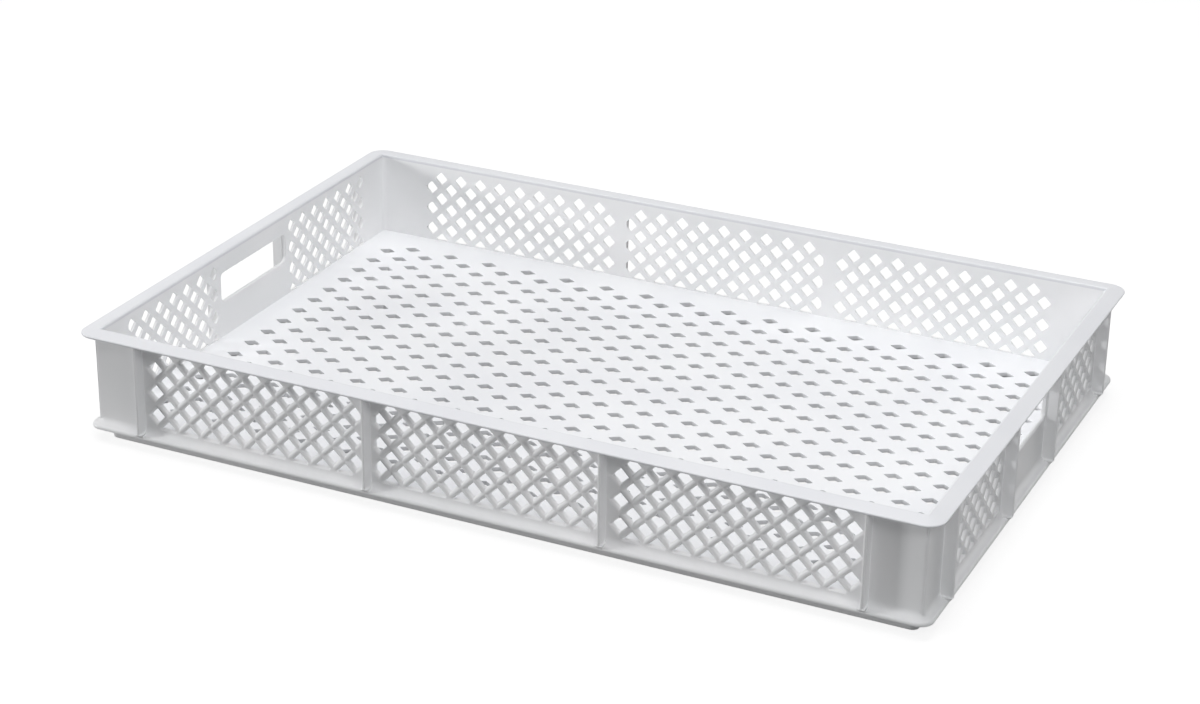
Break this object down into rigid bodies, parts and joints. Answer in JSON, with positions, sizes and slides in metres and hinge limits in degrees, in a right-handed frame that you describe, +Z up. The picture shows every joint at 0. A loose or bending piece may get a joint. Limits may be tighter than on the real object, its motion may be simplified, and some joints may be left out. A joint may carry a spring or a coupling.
{
  "type": "stacking drying tray",
  "caption": "Flat stacking drying tray with lattice walls, a perforated floor, a flat rim, a stepped stacking base and a hand slot in each end wall.",
  "frame": {"origin": "centre of the footprint, on the surface that the feet stand on", "axes": "+X along the long side, +Y from the front wall to the back wall, +Z up"},
  "size_m": [0.6, 0.4, 0.08],
  "materials": {
    "white_plastic": "white injection-moulded food-grade polyethylene, satin"
  },
  "bodies": {
    "root": {"rim_front": "white_plastic", "rim_right": "white_plastic", "rim_back": "white_plastic", "rim_left": "white_plastic", "base_flange_front": "white_plastic", "base_flange_right": "white_plastic", "base_flange_back": "white_plastic", "base_flange_left": "white_plastic", "foot_front": "white_plastic", "foot_right": "white_plastic", "foot_back": "white_plastic", "foot_left": "white_plastic", "corner_post_front_left": "white_plastic", "corner_post_front_right": "white_plastic", "corner_post_back_right": "white_plastic", "corner_post_back_left": "white_plastic", "lattice_front_1": "white_plastic", "lattice_front_2": "white_plastic", "lattice_front_3": "white_plastic", "rib_front_1": "white_plastic", "rib_front_2": "white_plastic", "rib_front_3": "white_plastic", "rib_front_4": "white_plastic", "lattice_right_1": "white_plastic", "lattice_right_2": "white_plastic", "handle_panel_right": "white_plastic", "rib_right_1": "white_plastic", "rib_right_2": "white_plastic", "rib_right_3": "white_plastic", "rib_right_4": "white_plastic", "lattice_back_1": "white_plastic", "lattice_back_2": "white_plastic", "lattice_back_3": "white_plastic", "rib_back_1": "white_plastic", "rib_back_2": "white_plastic", "rib_back_3": "white_plastic", "rib_back_4": "white_plastic", "lattice_left_1": "white_plastic", "lattice_left_2": "white_plastic", "handle_panel_left": "white_plastic", "rib_left_1": "white_plastic", "rib_left_2": "white_plastic", "rib_left_3": "white_plastic", "rib_left_4": "white_plastic", "floor": "white_plastic"}
  },
  "joints": []
}
